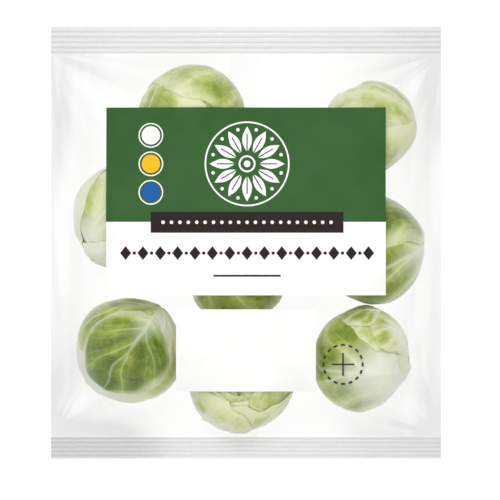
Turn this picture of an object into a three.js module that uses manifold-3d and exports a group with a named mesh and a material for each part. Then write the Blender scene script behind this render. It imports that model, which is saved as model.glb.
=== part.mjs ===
// A sealed bag of clear film with trimmed Brussels sprouts inside, lying on its back.
// Millimetres, +Z up. The origin is on the surface that the bag lies on, under its middle.
// +X is the right and +Y the top of the pack, as its front is read.
import * as THREE from "three";
import { mergeVertices } from "three/addons/utils/BufferGeometryUtils.js";
import Module from "manifold-3d";

const wasm = await Module();
wasm.setup();

// The bag
const BAG_WIDTH = 140;
const BAG_LENGTH = 155;
const TOP_SEAL = 9.5;
const BOTTOM_SEAL = 7.7;
const RIM_HEIGHT = 17; // the side folds and the end seals above the surface
const FILM = 0.6; // wall of the film, thickened from about 0.05
const FILM_SWELL = 0.007; // how strongly the air inside bows the film, in 1/mm
const CELL = 6.25; // the largest step of the film's mesh
const EDGE_CELL = 4; // the first step in from the bag's outline
const CAVITY_INSET = 1.2; // from the bag's outline to the hollow inside
const RELAX_ROUNDS = 3000;

// The crimped end seals
const CRIMPS = 5;
const CRIMP_HEIGHT = 0.35;
const CRIMP_STEPS = 6; // points along each crimp
const SEAL_ROOT = 1.5; // how far a seal runs into the bag's rim
const SEAL_DROOP = 0.16; // fall of a seal for each millimetre outwards

// The lapped seam along the middle of the back
const SEAM_INNER_EDGE = 4.4;
const SEAM_OUTER_EDGE = -6;
const SEAM_GAP = 0.3; // between the two plies of the lap
const SEAM_SLOT = 0.4; // width of the slots at the plies' free edges
const SEAM_REACH = 10; // where the film is back to one ply
const SEAM_END_CELLS = 2; // cells of the mesh between the lap's gap and each end

// The two opaque labels on the front, as [left, right] and [bottom, top]
const LABEL_THICKNESS = 0.8;
const LABEL_GAP = 0.4;
const FRONT_LABEL = { x: [-50, 50], y: [-18.8, 48.4] };
const LOWER_LABEL = { x: [-25, 25], y: [-53.2, -23.8] };

// The sprouts. "stem" is the compass direction that the cut stem points in, 0 along +X and 90 along +Y.
// "lean" is how far the tip of the head leans towards the front of the pack, both in degrees.
const SPROUTS = [
  { name: "sprout_top", at: [-19, 44.6], radius: 19.2, stem: -58, lean: 35 },
  { name: "sprout_top_right", at: [45.2, 41.2], radius: 16.9, stem: -78, lean: 8 },
  { name: "sprout_left", at: [-42.4, 8.2], radius: 19.6, stem: -112, lean: -14 },
  { name: "sprout_right", at: [45.4, -2.4], radius: 19.2, stem: 196, lean: 12 },
  { name: "sprout_lower_left", at: [-41.3, -37.8], radius: 19, stem: 34, lean: -8 },
  { name: "sprout_lower_right", at: [41.8, -41.4], radius: 18.8, stem: -4, lean: 2 },
  { name: "sprout_middle", at: [-2.2, -7.2], radius: 19.4, stem: 150, lean: -10 },
  { name: "sprout_bottom", at: [-1.2, -49.1], radius: 17.7, stem: 100, lean: 62 },
  { name: "sprout_behind_label", at: [15.4, 26.6], radius: 16.8, stem: 20, lean: 30 },
];
const HEAD_STRETCH = 1.04; // length of a head along its stem, against its width
const STEM_TAPER = 0.3; // how much narrower a head is at its stem
const LEAVES = 8;
const LEAF_STEP = 0.55; // how far each leaf lies over the one inside it
const LEAF_FLARE = 0.5; // how far a leaf's edge stands off
const LEAF_RINGS = 4;
const LEAF_SECTORS = 16;
const LEAF_ROOT = 0.6; // depth of a leaf's root, as a share of the head's radius
const INNER_LEAF = { middle: 42, reach: 56 }; // from the tip of the head, in degrees
const OUTER_LEAF = { middle: 98, reach: 74 };
const LEAF_WAVE = 0.05; // how far a leaf's edge waves, as a share of its reach
const GOLDEN_ANGLE = THREE.MathUtils.degToRad(137.5);
const STEM_TRIM = 1.6; // cut off the stem's end, flat
const SPROUT_BED = 1.3; // lowest point of a sprout above the surface
const SEAM_BED = 2.2; // the same for a sprout that lies on the seam
const SPROUT_CLEARANCE = 1.8; // from a sprout to the outside of the film over it

const bodyTop = BAG_LENGTH / 2 - TOP_SEAL;
const bodyBottom = -BAG_LENGTH / 2 + BOTTOM_SEAL;

// Solids

function solidOf(geometry) {
  const bare = geometry.clone();
  bare.deleteAttribute("normal");
  bare.deleteAttribute("uv");
  const merged = mergeVertices(bare, 1e-4);
  return new wasm.Manifold(
    new wasm.Mesh({
      numProp: 3,
      vertProperties: merged.attributes.position.array,
      triVerts: new Uint32Array(merged.index.array),
    }),
  );
}

function geometryOf(solid) {
  const mesh = solid.getMesh();
  const geometry = new THREE.BufferGeometry();
  geometry.setAttribute("position", new THREE.BufferAttribute(mesh.vertProperties, 3));
  geometry.setIndex(new THREE.BufferAttribute(mesh.triVerts, 1));
  geometry.computeVertexNormals();
  return geometry;
}

function geometryFrom(points, triangles) {
  const geometry = new THREE.BufferGeometry().setFromPoints(points);
  geometry.setIndex(triangles);
  return geometry;
}

function seededRandom(seed) {
  let state = seed;
  return () => {
    state = (state * 1664525 + 1013904223) % 4294967296;
    return state / 4294967296;
  };
}

// Sprouts

// A point of the head in a direction from its middle, at a depth under its outside.
function headPoint(direction, radius, depth) {
  const taper = direction.z < 0 ? 1 - STEM_TAPER * direction.z ** 2 : 1;
  const point = new THREE.Vector3(direction.x * taper, direction.y * taper, direction.z * HEAD_STRETCH);
  return point.multiplyScalar(radius - depth);
}

// The core that the leaves wrap.
function coreSolid(radius, depth) {
  const geometry = new THREE.SphereGeometry(1, LEAF_SECTORS, LEAF_SECTORS / 2).rotateX(Math.PI / 2);
  const position = geometry.attributes.position;
  const direction = new THREE.Vector3();
  for (let i = 0; i < position.count; i++) {
    direction.fromBufferAttribute(position, i);
    const point = headPoint(direction, radius, depth);
    position.setXYZ(i, point.x, point.y, point.z);
  }
  return solidOf(geometry);
}

// One cupped leaf round a direction, with a waved edge that flares, and its root sunk into the head.
function leafSolid(radius, { middle, turn, reach, depth, phase }) {
  const centre = new THREE.Vector3().setFromSphericalCoords(1, middle, turn);
  centre.set(centre.x, -centre.z, centre.y);
  const side = new THREE.Vector3(0, 0, 1).cross(centre).normalize();
  const upward = centre.clone().cross(side);
  const directionAt = (share, around) => {
    const wave = Math.sin(3 * around + phase) + 0.6 * Math.sin(5 * around - phase);
    const angle = reach * (1 + LEAF_WAVE * wave) * share;
    const outward = side.clone().multiplyScalar(Math.cos(around)).addScaledVector(upward, Math.sin(around));
    return centre.clone().multiplyScalar(Math.cos(angle)).addScaledVector(outward, Math.sin(angle));
  };
  const points = [headPoint(centre, radius, depth)];
  for (let ring = 1; ring <= LEAF_RINGS; ring++) {
    const share = ring / LEAF_RINGS;
    for (let k = 0; k < LEAF_SECTORS; k++) {
      const direction = directionAt(share, (2 * Math.PI * k) / LEAF_SECTORS);
      points.push(headPoint(direction, radius, depth - LEAF_FLARE * share ** 4));
    }
  }
  const rootDepth = radius * (1 - LEAF_ROOT);
  for (let k = 0; k < LEAF_SECTORS; k++) {
    points.push(headPoint(directionAt(1, (2 * Math.PI * k) / LEAF_SECTORS), radius, rootDepth));
  }
  points.push(headPoint(centre, radius, rootDepth));

  const at = (ring, k) => 1 + (ring - 1) * LEAF_SECTORS + (k % LEAF_SECTORS);
  const triangles = [];
  for (let k = 0; k < LEAF_SECTORS; k++) {
    triangles.push(0, at(1, k), at(1, k + 1));
    for (let ring = 1; ring <= LEAF_RINGS; ring++) {
      triangles.push(at(ring, k), at(ring + 1, k), at(ring + 1, k + 1));
      triangles.push(at(ring, k), at(ring + 1, k + 1), at(ring, k + 1));
    }
    triangles.push(points.length - 1, at(LEAF_RINGS + 1, k + 1), at(LEAF_RINGS + 1, k));
  }
  return solidOf(geometryFrom(points, triangles));
}

// A trimmed sprout about its own middle, with the tip of the head along +Z and the cut stem along -Z.
function sproutGeometry(radius, seed) {
  const random = seededRandom(seed);
  const outerDepth = LEAF_FLARE;
  const coreDepth = outerDepth + LEAF_STEP * LEAVES;
  let head = coreSolid(radius, coreDepth);
  const firstTurn = 2 * Math.PI * random();
  for (let i = 0; i < LEAVES; i++) {
    const outward = i / (LEAVES - 1);
    const middle = THREE.MathUtils.lerp(INNER_LEAF.middle, OUTER_LEAF.middle, outward);
    const reach = THREE.MathUtils.lerp(INNER_LEAF.reach, OUTER_LEAF.reach, outward);
    head = head.add(
      leafSolid(radius, {
        middle: THREE.MathUtils.degToRad(middle),
        turn: firstTurn + i * GOLDEN_ANGLE,
        reach: THREE.MathUtils.degToRad(reach),
        depth: coreDepth - LEAF_STEP * (i + 1),
        phase: 2 * Math.PI * random(),
      }),
    );
  }
  const offcut = new THREE.BoxGeometry(2 * radius, 2 * radius, 2 * STEM_TRIM);
  offcut.translate(0, 0, -radius * HEAD_STRETCH);
  return geometryOf(head.subtract(solidOf(offcut)));
}

// Where the tip of a sprout's head points.
function tipDirection({ stem, lean }) {
  const compass = THREE.MathUtils.degToRad(stem + 180);
  const rise = THREE.MathUtils.degToRad(lean);
  const level = Math.cos(rise);
  return new THREE.Vector3(level * Math.cos(compass), level * Math.sin(compass), Math.sin(rise));
}

// Half the height of a sprout as it lies.
function halfHeight({ radius }, tip) {
  return radius * Math.hypot(Math.hypot(tip.x, tip.y), HEAD_STRETCH * tip.z);
}

function placed(sprout) {
  const tip = tipDirection(sprout);
  const bed = Math.abs(sprout.at[0]) < SEAM_REACH ? SEAM_BED : SPROUT_BED;
  return { ...sprout, tip, middle: new THREE.Vector3(...sprout.at, bed + halfHeight(sprout, tip)) };
}

// The lowest and highest point, over (x, y), of a sprout's outline grown by the clearance, or null beside it.
function sproutSpan({ middle, tip, radius }, x, y) {
  const across = 1 / (radius + SPROUT_CLEARANCE) ** 2;
  const along = 1 / (radius * HEAD_STRETCH + SPROUT_CLEARANCE) ** 2 - across;
  const dx = x - middle.x;
  const dy = y - middle.y;
  const flat = dx * tip.x + dy * tip.y;
  const a = across + along * tip.z ** 2;
  const b = along * tip.z * flat;
  const c = across * (dx * dx + dy * dy) + along * flat ** 2 - 1;
  const root = b * b - a * c;
  if (root <= 0) return null;
  return [middle.z + (-b - Math.sqrt(root)) / a, middle.z + (-b + Math.sqrt(root)) / a];
}

// Film

// Mesh lines from one edge of the bag to the other through every stop, with equal cells between two stops.
function linesThrough(firstEdge, innerStops, lastEdge) {
  const stops = [firstEdge, firstEdge + EDGE_CELL, ...innerStops, lastEdge - EDGE_CELL, lastEdge];
  const lines = [firstEdge];
  for (let s = 1; s < stops.length; s++) {
    const cells = Math.ceil((stops[s] - stops[s - 1]) / CELL - 1e-6);
    for (let k = 1; k <= cells; k++) lines.push(stops[s - 1] + ((stops[s] - stops[s - 1]) * k) / cells);
  }
  return lines;
}

// The height of a film that is held at the bag's rim and bowed by the air, with a limit at each mesh point.
function relaxedFilm(xs, ys, swell, limit) {
  const heights = xs.map(() => ys.map(() => RIM_HEIGHT));
  for (let round = 0; round < RELAX_ROUNDS; round++) {
    for (let i = 1; i < xs.length - 1; i++) {
      const left = xs[i] - xs[i - 1];
      const right = xs[i + 1] - xs[i];
      for (let j = 1; j < ys.length - 1; j++) {
        const down = ys[j] - ys[j - 1];
        const up = ys[j + 1] - ys[j];
        const pulls = [
          [1 / left / (left + right), heights[i - 1][j]],
          [1 / right / (left + right), heights[i + 1][j]],
          [1 / down / (down + up), heights[i][j - 1]],
          [1 / up / (down + up), heights[i][j + 1]],
        ];
        const weight = pulls.reduce((sum, [w]) => sum + w, 0);
        const pulled = pulls.reduce((sum, [w, z]) => sum + w * z, 0);
        heights[i][j] = limit(i, j, (pulled + swell / 2) / weight);
      }
    }
  }
  return heights;
}

// The wall's thickness measured straight up, so that it stays even where the film slopes.
function uprightFilm(xs, ys, heights, i, j) {
  const slopeX = (heights[i + 1][j] - heights[i - 1][j]) / (xs[i + 1] - xs[i - 1]);
  const slopeY = (heights[i][j + 1] - heights[i][j - 1]) / (ys[j + 1] - ys[j - 1]);
  return FILM * Math.hypot(1, slopeX, slopeY);
}

// A closed solid between an upper and a lower surface on the same mesh lines.
function solidBetween(xs, ys, lower, upper) {
  const points = [];
  for (const surface of [lower, upper]) {
    xs.forEach((x, i) => ys.forEach((y, j) => points.push(new THREE.Vector3(x, y, surface(i, j)))));
  }
  const count = xs.length * ys.length;
  const at = (i, j) => i * ys.length + j;
  const triangles = [];
  const quad = (a, b, c, d) => triangles.push(a, b, c, a, c, d);
  for (let i = 0; i + 1 < xs.length; i++) {
    for (let j = 0; j + 1 < ys.length; j++) {
      const [a, b, c, d] = [at(i, j), at(i + 1, j), at(i + 1, j + 1), at(i, j + 1)];
      quad(count + a, count + b, count + c, count + d);
      triangles.push(a, c, b, a, d, c);
    }
  }
  const wall = (a, b) => quad(a, b, count + b, count + a);
  const lastX = xs.length - 1;
  const lastY = ys.length - 1;
  for (let i = 0; i < lastX; i++) {
    wall(at(i, 0), at(i + 1, 0));
    wall(at(i + 1, lastY), at(i, lastY));
  }
  for (let j = 0; j < lastY; j++) {
    wall(at(lastX, j), at(lastX, j + 1));
    wall(at(0, j + 1), at(0, j));
  }
  return solidOf(geometryFrom(points, triangles));
}

// A crimped end seal: a corrugated strip that runs outwards from the bag's rim and droops.
function sealSolid(rimY, length, outward) {
  const faces = { lower: [], upper: [] };
  const rise = (reach) => -SEAL_DROOP * Math.max(0, reach);
  const station = (reach, wave) => {
    faces.lower.push(new THREE.Vector2(rimY + outward * reach, RIM_HEIGHT + rise(reach) + wave - FILM));
    faces.upper.push(new THREE.Vector2(rimY + outward * reach, RIM_HEIGHT + rise(reach) + wave + FILM));
  };
  station(-SEAL_ROOT, 0);
  for (let k = 0; k <= CRIMPS * CRIMP_STEPS; k++) {
    const turn = k / CRIMP_STEPS;
    station(length * (turn / CRIMPS), CRIMP_HEIGHT * Math.sin(2 * Math.PI * turn));
  }
  const shape = new THREE.Shape([...faces.lower, ...faces.upper.reverse()]);
  const strip = new THREE.ExtrudeGeometry(shape, { depth: BAG_WIDTH, bevelEnabled: false });
  const turned = new THREE.Matrix4().makeBasis(
    new THREE.Vector3(0, 1, 0),
    new THREE.Vector3(0, 0, 1),
    new THREE.Vector3(1, 0, 0),
  );
  return solidOf(strip.applyMatrix4(turned).translate(-BAG_WIDTH / 2, 0, 0));
}

// The seam's extra thickness at x: two plies and the gap between them, thinning out to one ply.
function seamRise(x) {
  const lap = Math.max(-SEAM_OUTER_EDGE, SEAM_INNER_EDGE);
  return (FILM + SEAM_GAP) * THREE.MathUtils.clamp((SEAM_REACH - Math.abs(x)) / (SEAM_REACH - lap), 0, 1);
}

// The back film made level across the seam, at the lowest height that it has there.
function levelSeam(xs, heights) {
  const columns = heights.filter((column, i) => Math.abs(xs[i]) < SEAM_REACH);
  const lowest = columns[0].map((height, j) => Math.min(...columns.map((column) => column[j])));
  return heights.map((column, i) => (Math.abs(xs[i]) < SEAM_REACH ? lowest : column));
}

// The whole film: one web lapped along the back and crimped at both ends, hollow inside.
function filmSolid(xs, ys, front, back) {
  const lastX = xs.length - 1;
  const lastY = ys.length - 1;
  const onRim = (i, j) => i === 0 || j === 0 || i === lastX || j === lastY;
  const outside = solidBetween(
    xs,
    ys,
    (i, j) => (onRim(i, j) ? RIM_HEIGHT - FILM : back[i][j]),
    (i, j) => (onRim(i, j) ? RIM_HEIGHT + FILM : front[i][j]),
  );
  const inset = (lines) => [
    lines[0] + CAVITY_INSET,
    ...lines.slice(1, -1),
    lines[lines.length - 1] - CAVITY_INSET,
  ];
  const hollow = solidBetween(
    inset(xs),
    inset(ys),
    (i, j) => (onRim(i, j) ? RIM_HEIGHT : back[i][j] + uprightFilm(xs, ys, back, i, j) + seamRise(xs[i])),
    (i, j) => (onRim(i, j) ? RIM_HEIGHT : front[i][j] - uprightFilm(xs, ys, front, i, j)),
  );
  // The lap's gap, and the slots at the free edges of its plies, follow the back's middle line.
  const middle = xs.indexOf(0);
  const seamYs = ys.slice(SEAM_END_CELLS, -SEAM_END_CELLS);
  const alongSeam = (left, right, low, high) =>
    solidBetween(
      [left, right],
      seamYs,
      (i, j) => back[middle][j + SEAM_END_CELLS] + low,
      (i, j) => back[middle][j + SEAM_END_CELLS] + high,
    );
  const outerSlot = alongSeam(SEAM_OUTER_EDGE - SEAM_SLOT, SEAM_OUTER_EDGE, -FILM, FILM + SEAM_GAP);
  const gap = alongSeam(SEAM_OUTER_EDGE - SEAM_SLOT, SEAM_INNER_EDGE, FILM, FILM + SEAM_GAP);
  const innerSlot = alongSeam(SEAM_INNER_EDGE - SEAM_SLOT, SEAM_INNER_EDGE, FILM, 4 * FILM + SEAM_GAP);
  return outside
    .add(sealSolid(bodyTop, TOP_SEAL, 1))
    .add(sealSolid(bodyBottom, BOTTOM_SEAL, -1))
    .subtract(hollow)
    .subtract(outerSlot)
    .subtract(gap)
    .subtract(innerSlot);
}

// A label laid on the front film between four of its mesh lines.
function labelSolid({ x, y }, xs, ys, front) {
  const within = (lines, [low, high]) => lines.filter((v) => v > low - 1e-6 && v < high + 1e-6);
  const labelXs = within(xs, x);
  const labelYs = within(ys, y);
  const firstX = xs.indexOf(labelXs[0]);
  const firstY = ys.indexOf(labelYs[0]);
  return solidBetween(
    labelXs,
    labelYs,
    (i, j) => front[i + firstX][j + firstY] + LABEL_GAP,
    (i, j) => front[i + firstX][j + firstY] + LABEL_GAP + LABEL_THICKNESS,
  );
}

// Materials
const clearFilm = new THREE.MeshStandardMaterial({
  color: 0xf4f5f4,
  roughness: 0.25,
  metalness: 0,
  transparent: true,
  opacity: 0.3,
});
const greenLabel = new THREE.MeshStandardMaterial({ color: 0x42693d, roughness: 0.5, metalness: 0 });
const whiteLabel = new THREE.MeshStandardMaterial({ color: 0xfdfdfc, roughness: 0.5, metalness: 0 });
const sproutLeaf = new THREE.MeshStandardMaterial({ color: 0xa9bf6c, roughness: 0.55, metalness: 0 });

// Assembly
const bag = new THREE.Group();
bag.name = "sprout_bag";

function addMesh(name, geometry, material) {
  const mesh = new THREE.Mesh(geometry, material);
  mesh.name = name;
  bag.add(mesh);
  return mesh;
}

const sprouts = SPROUTS.map(placed);
sprouts.forEach(({ name, radius, middle, tip }, index) => {
  const mesh = addMesh(name, sproutGeometry(radius, index + 1), sproutLeaf);
  mesh.position.copy(middle);
  mesh.quaternion.setFromUnitVectors(new THREE.Vector3(0, 0, 1), tip);
});

const halfWidth = BAG_WIDTH / 2;
const labelXs = [...FRONT_LABEL.x, ...LOWER_LABEL.x].sort((a, b) => a - b);
const meshXs = linesThrough(-halfWidth, [...labelXs.slice(0, 2), 0, ...labelXs.slice(2)], halfWidth);
const meshYs = linesThrough(bodyBottom, [...LOWER_LABEL.y, ...FRONT_LABEL.y], bodyTop);
const spans = meshXs.map((x) =>
  meshYs.map((y) => sprouts.map((sprout) => sproutSpan(sprout, x, y)).filter((span) => span)),
);
const frontFilm = relaxedFilm(meshXs, meshYs, FILM_SWELL, (i, j, z) =>
  Math.max(z, ...spans[i][j].map(([, top]) => top)),
);
const backFilm = levelSeam(
  meshXs,
  relaxedFilm(meshXs, meshYs, -FILM_SWELL, (i, j, z) =>
    Math.max(0, Math.min(z, ...spans[i][j].map(([bottom]) => bottom - seamRise(meshXs[i])))),
  ),
);
addMesh("film_bag", geometryOf(filmSolid(meshXs, meshYs, frontFilm, backFilm)), clearFilm);
addMesh("front_label", geometryOf(labelSolid(FRONT_LABEL, meshXs, meshYs, frontFilm)), greenLabel);
addMesh("lower_label", geometryOf(labelSolid(LOWER_LABEL, meshXs, meshYs, frontFilm)), whiteLabel);

export default bag;
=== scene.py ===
import math

import bmesh
import bpy
import numpy as np
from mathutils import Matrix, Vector


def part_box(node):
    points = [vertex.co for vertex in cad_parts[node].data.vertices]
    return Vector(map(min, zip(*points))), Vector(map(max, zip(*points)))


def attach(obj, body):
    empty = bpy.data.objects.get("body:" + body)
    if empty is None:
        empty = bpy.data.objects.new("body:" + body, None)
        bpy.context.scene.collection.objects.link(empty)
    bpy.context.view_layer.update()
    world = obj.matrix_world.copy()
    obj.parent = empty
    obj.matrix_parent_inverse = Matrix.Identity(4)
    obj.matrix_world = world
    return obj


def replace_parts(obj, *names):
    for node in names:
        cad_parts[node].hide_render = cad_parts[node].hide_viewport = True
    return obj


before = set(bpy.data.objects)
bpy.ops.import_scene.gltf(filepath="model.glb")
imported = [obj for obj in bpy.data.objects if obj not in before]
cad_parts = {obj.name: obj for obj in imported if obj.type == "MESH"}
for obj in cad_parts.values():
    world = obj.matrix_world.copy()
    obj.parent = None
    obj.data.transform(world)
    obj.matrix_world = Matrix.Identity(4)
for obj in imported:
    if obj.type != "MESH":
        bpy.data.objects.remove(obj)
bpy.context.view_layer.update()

# Sprouts: trimmed heads of cupped leaves that wrap a core, each leaf with a thick pale midrib,
# side veins and a waved margin that lifts a little. The stem is cut off flat below the lowest leaves.
# A leaf starts as a blank of two skins that meet at the margin, and is bent round the head.
MM = 0.001
LEAVES = 12
LEAF_CELLS = 44
WRAP_DEPTH = 2.3 * MM
WRAP_ROWS = 72
WRAP_COLUMNS = 144
WRAP_DRAPE = 4
WRAP_SMOOTHING = 10
EDGE_SMOOTHING = 2
EDGE_FROM = 0.7
EDGE_PRESS = 0.33 * MM
LOOSE_WAVES = 1.5
LEAF_THICKNESS = 0.42 * MM
LEAF_JITTER = math.radians(7)
LEAF_FLARE = (0.0, 0.12 * MM)
GOLDEN_ANGLE = math.radians(137.5)
INNER_LEAF = {"middle": math.radians(40), "reach": math.radians(55)}
OUTER_LEAF = {"middle": math.radians(98), "reach": math.radians(74)}
HEAD_STRETCH = 1.04
HEAD_REST = 0.6 * MM
STEM_RADIUS = 0.18
STEM_TRIM = 3.2 * MM
# The veins on a blade that runs from its base at -1 to its tip at 1, and as far to each side. Side veins
# swing out from the lower part of the midrib at even angles, with finer ones between them.
RIB_AT_BASE = 0.075
RIB_AT_TIP = 0.012
FAN_ROOT = 0.3
SIDE_PITCH = math.radians(22)
SIDE_STAGGER = 0.14
SIDE_WIDTH = 0.018
FINE_WIDTH = 0.011
SIDE_FADE = 1.15
RIB_HEIGHT = 0.45 * MM
SIDE_HEIGHT = 0.25 * MM
PUCKER_HEIGHT = 0.28 * MM
RIB_WANDER = 0.07
SIDE_WANDER = 0.1
FINE_WANDER = 0.02
MARGIN_LOBES = (0.05, 0.03)
MARGIN_RUFFLE = 0.018
CORE_SHARE = 0.97
STEM_LENGTH = 8 * MM
STEM_FLARE = 1.15
STEM_EDGE = 0.5 * MM
FIRST_SEED = 11
# Each head: how full it is beside its solid, where its cut stem points (0 is +X, 90 is +Y) and how far its
# tip leans to the front, in degrees. Then how green its leaves are, how far up they are pale, how much it
# narrows to its stem, and how waved they are.
# The leaves that show are laid last: where each one's middle points, how far that rises to the front and
# how far the leaf reaches round the head, in degrees, then how green it is and how far up it is pale.
HEADS = [
    {
        "node": "sprout_top", "full": 1.035, "stem": -58, "lean": 35,
        "green": 0.4, "pale": 0.15, "taper": 0.3, "waves": 0.7,
        "shown": [(205, 35, 72, 0.48, 0.12), (65, -13, 81, 0.68, 0.0)],
    },
    {
        "node": "sprout_top_right", "full": 1.045, "stem": -78, "lean": 8,
        "green": 0.3, "pale": 0.25, "taper": 0.6, "waves": 0.8,
        "shown": [(200, 30, 70, 0.25, 0.3), (35, 25, 85, 0.3, 0.25), (-72, 14, 78, 0.25, 0.5)],
    },
    {
        "node": "sprout_left", "full": 1.07, "stem": -132, "lean": -14,
        "green": 0.2, "pale": 0.5, "taper": 0.35, "waves": 1.0,
        "shown": [(175, 55, 62, 0.22, 0.5), (250, 10, 53, 0.05, 0.8), (152, -38, 69, 0.1, 0.7)],
    },
    {
        "node": "sprout_right", "full": 1.045, "stem": 8, "lean": 4,
        "green": 0.5, "pale": 0.3, "taper": 0.3, "waves": 0.9,
        "shown": [(-20, 65, 82, 0.68, 0.42), (105, 5, 90, 0.95, 0.05)],
    },
    {
        "node": "sprout_lower_left", "full": 1.075, "stem": 56, "lean": -22,
        "green": 0.2, "pale": 0.2, "taper": 0.3, "waves": 0.7,
        "shown": [
            (215, 20, 80, 0.05, 0.8), (105, 30, 68, 0.6, 0.15), (-10, 25, 62, 0.3, 0.5),
            (238, 79, 51, 1.0, 0.14),
        ],
    },
    {
        "node": "sprout_lower_right", "full": 1.01, "stem": -6, "lean": 11,
        "green": 0.4, "pale": 0.5, "taper": 0.55, "waves": 1.2,
        "shown": [
            (-80, 10, 66, 0.4, 0.45), (200, 60, 76, 0.56, 0.5), (60, 28, 46, 0.2, 0.6),
            (50, 42, 27, 0.25, 0.55), (97, 34, 20, 0.5, 0.2),
        ],
    },
    {
        "node": "sprout_middle", "full": 1.09, "stem": 150, "lean": -10,
        "green": 0.6, "pale": 0.2, "taper": 0.3, "waves": 1.0,
        "shown": [(-60, 60, 74, 0.7, 0.22)],
    },
    {
        "node": "sprout_bottom", "full": 1.08, "stem": 100, "lean": 62,
        "green": 0.4, "pale": 0.3, "taper": 0.3, "waves": 1.5,
        "shown": [
            (40, 40, 58, 0.5, 0.1), (190, 35, 52, 0.3, 0.3), (330, 30, 50, 0.45, 0.2),
            (240, 25, 42, 0.35, 0.3), (285, 20, 36, 0.45, 0.2), (200, 0, 64, 0.3, 0.55),
            (322, -5, 66, 0.45, 0.4), (280, -8, 58, 0.3, 0.7), (236, 5, 47, 0.25, 0.7),
        ],
    },
    {
        "node": "sprout_behind_label", "full": 1.045, "stem": 20, "lean": 30,
        "green": 0.4, "pale": 0.25, "taper": 0.3, "waves": 1.0,
        "shown": [],
    },
]


def mesh_from(bm, name):
    """The mesh of what was built, with the builder freed."""
    mesh = bpy.data.meshes.new(name)
    bm.to_mesh(mesh)
    bm.free()
    return mesh


def two_skin_blank(name, columns, rows):
    """A flat blank from -1 to 1 each way. z is 1 on its upper skin, -1 on its lower and 0 where they meet."""
    bm = bmesh.new()
    upper = bmesh.ops.create_grid(bm, x_segments=columns, y_segments=rows, size=1.0)["verts"]
    lower = bmesh.ops.create_grid(bm, x_segments=columns, y_segments=rows, size=1.0)["verts"]
    lower_faces = list({face for vert in lower for face in vert.link_faces})
    bmesh.ops.reverse_faces(bm, faces=lower_faces)
    for skin, side in ((upper, 1.0), (lower, -1.0)):
        for vert in skin:
            vert.co.z = 0.0 if vert.is_boundary else side
    bmesh.ops.remove_doubles(bm, verts=list(bm.verts), dist=1e-5)
    for face in list(bm.faces):
        ring = list(face.verts)
        inner = [k for k, vert in enumerate(ring) if vert.co.z != 0]
        if len(inner) == 1:
            # A corner of the blank is split through the corner, so that its two skins share no triangle
            bmesh.utils.face_split(face, ring[inner[0]], ring[inner[0] - 2])
    for edge in bm.edges:
        edge.smooth = any(vert.co.z != 0 for vert in edge.verts)
    return mesh_from(bm, name)


def coordinates(mesh):
    """The vertices of a mesh as rows of x, y and z."""
    flat = np.empty(len(mesh.vertices) * 3)
    mesh.vertices.foreach_get("co", flat)
    return flat.reshape(-1, 3)


def repeated(name, blank, copies):
    """A mesh that holds a blank several times over, its vertices in the blank's order each time."""
    bm = bmesh.new()
    for _ in range(copies):
        bm.from_mesh(blank)
    return mesh_from(bm, name)


def shaped(mesh, points):
    """Moves the vertices of a mesh to these points and shades it smooth."""
    mesh.vertices.foreach_set("co", points.ravel())
    mesh.polygons.foreach_set("use_smooth", np.ones(len(mesh.polygons), dtype=bool))
    mesh.update()
    return mesh


def in_scene(name, data):
    """A new object in the scene."""
    made = bpy.data.objects.new(name, data)
    bpy.context.scene.collection.objects.link(made)
    return made


def piece(name, mesh, material):
    """An object of the pack, which rides on its one body."""
    made = in_scene(name, mesh)
    mesh.materials.append(material)
    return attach(made, "root")


def veins(across, along):
    """The midrib and the side veins, each from 0 to 1, at places on a blade."""
    height = np.clip((along + 1) / 2, 0, 1)
    rib_width = RIB_AT_BASE + (RIB_AT_TIP - RIB_AT_BASE) * np.sqrt(height)
    rib = np.exp(-((across / rib_width) ** 2))
    out = np.abs(across) + FAN_ROOT
    up = 2 * height
    turn = (np.arctan2(up, out) / SIDE_PITCH + SIDE_STAGGER * np.sign(across) + 0.5) % 1
    gap = np.abs(turn - 0.5) * SIDE_PITCH * np.hypot(out, up)
    side = np.exp(-((gap / (2 * SIDE_WIDTH)) ** 2)) * np.clip(SIDE_FADE - np.abs(across), 0, 1)
    return rib, side


def head_points(directions, radii, taper):
    """Points of a head in directions from its middle. It is longer than wide, and narrows at the stem."""
    narrow = 1 - taper * np.clip(-directions[:, 2], 0, 1) ** 2
    scale = np.stack([narrow, narrow, np.full(len(directions), HEAD_STRETCH)], axis=1)
    return directions * scale * radii[:, None]


def wrap_places(directions):
    """Where directions fall on a map of the head: rows from its tip to its stem, and columns round it."""
    rows = np.arccos(np.clip(directions[:, 2], -1, 1)) / math.pi * (WRAP_ROWS - 1)
    columns = np.arctan2(directions[:, 1], directions[:, 0]) / (2 * math.pi) % 1 * WRAP_COLUMNS
    return rows, columns


def widened(radii):
    """A map of radii where each place takes the largest of those round it."""
    ends = np.pad(radii, ((1, 1), (0, 0)))
    tall = np.maximum.reduce([ends[:-2], radii, ends[2:]])
    return np.maximum.reduce([np.roll(tall, 1, axis=1), tall, np.roll(tall, -1, axis=1)])


def radii_under(wrap, directions, drape, smoothing):
    """How far out the leaves already reach in these directions, with their steps draped over and softened."""
    soft = wrap
    for _ in range(drape):
        soft = widened(soft)
    for _ in range(smoothing):
        ends = np.pad(soft, ((1, 1), (0, 0)), mode="edge")
        soft = (ends[:-2] + 2 * soft + ends[2:]) / 4
        soft = (np.roll(soft, 1, axis=1) + 2 * soft + np.roll(soft, -1, axis=1)) / 4
    soft = np.maximum(soft, wrap)
    rows, columns = wrap_places(directions)
    i = np.minimum(rows.astype(int), WRAP_ROWS - 2)
    j = columns.astype(int) % WRAP_COLUMNS
    after = (j + 1) % WRAP_COLUMNS
    u, v = rows - i, columns - np.floor(columns)
    near = soft[i, j] * (1 - v) + soft[i, after] * v
    far = soft[i + 1, j] * (1 - v) + soft[i + 1, after] * v
    return near * (1 - u) + far * u


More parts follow.
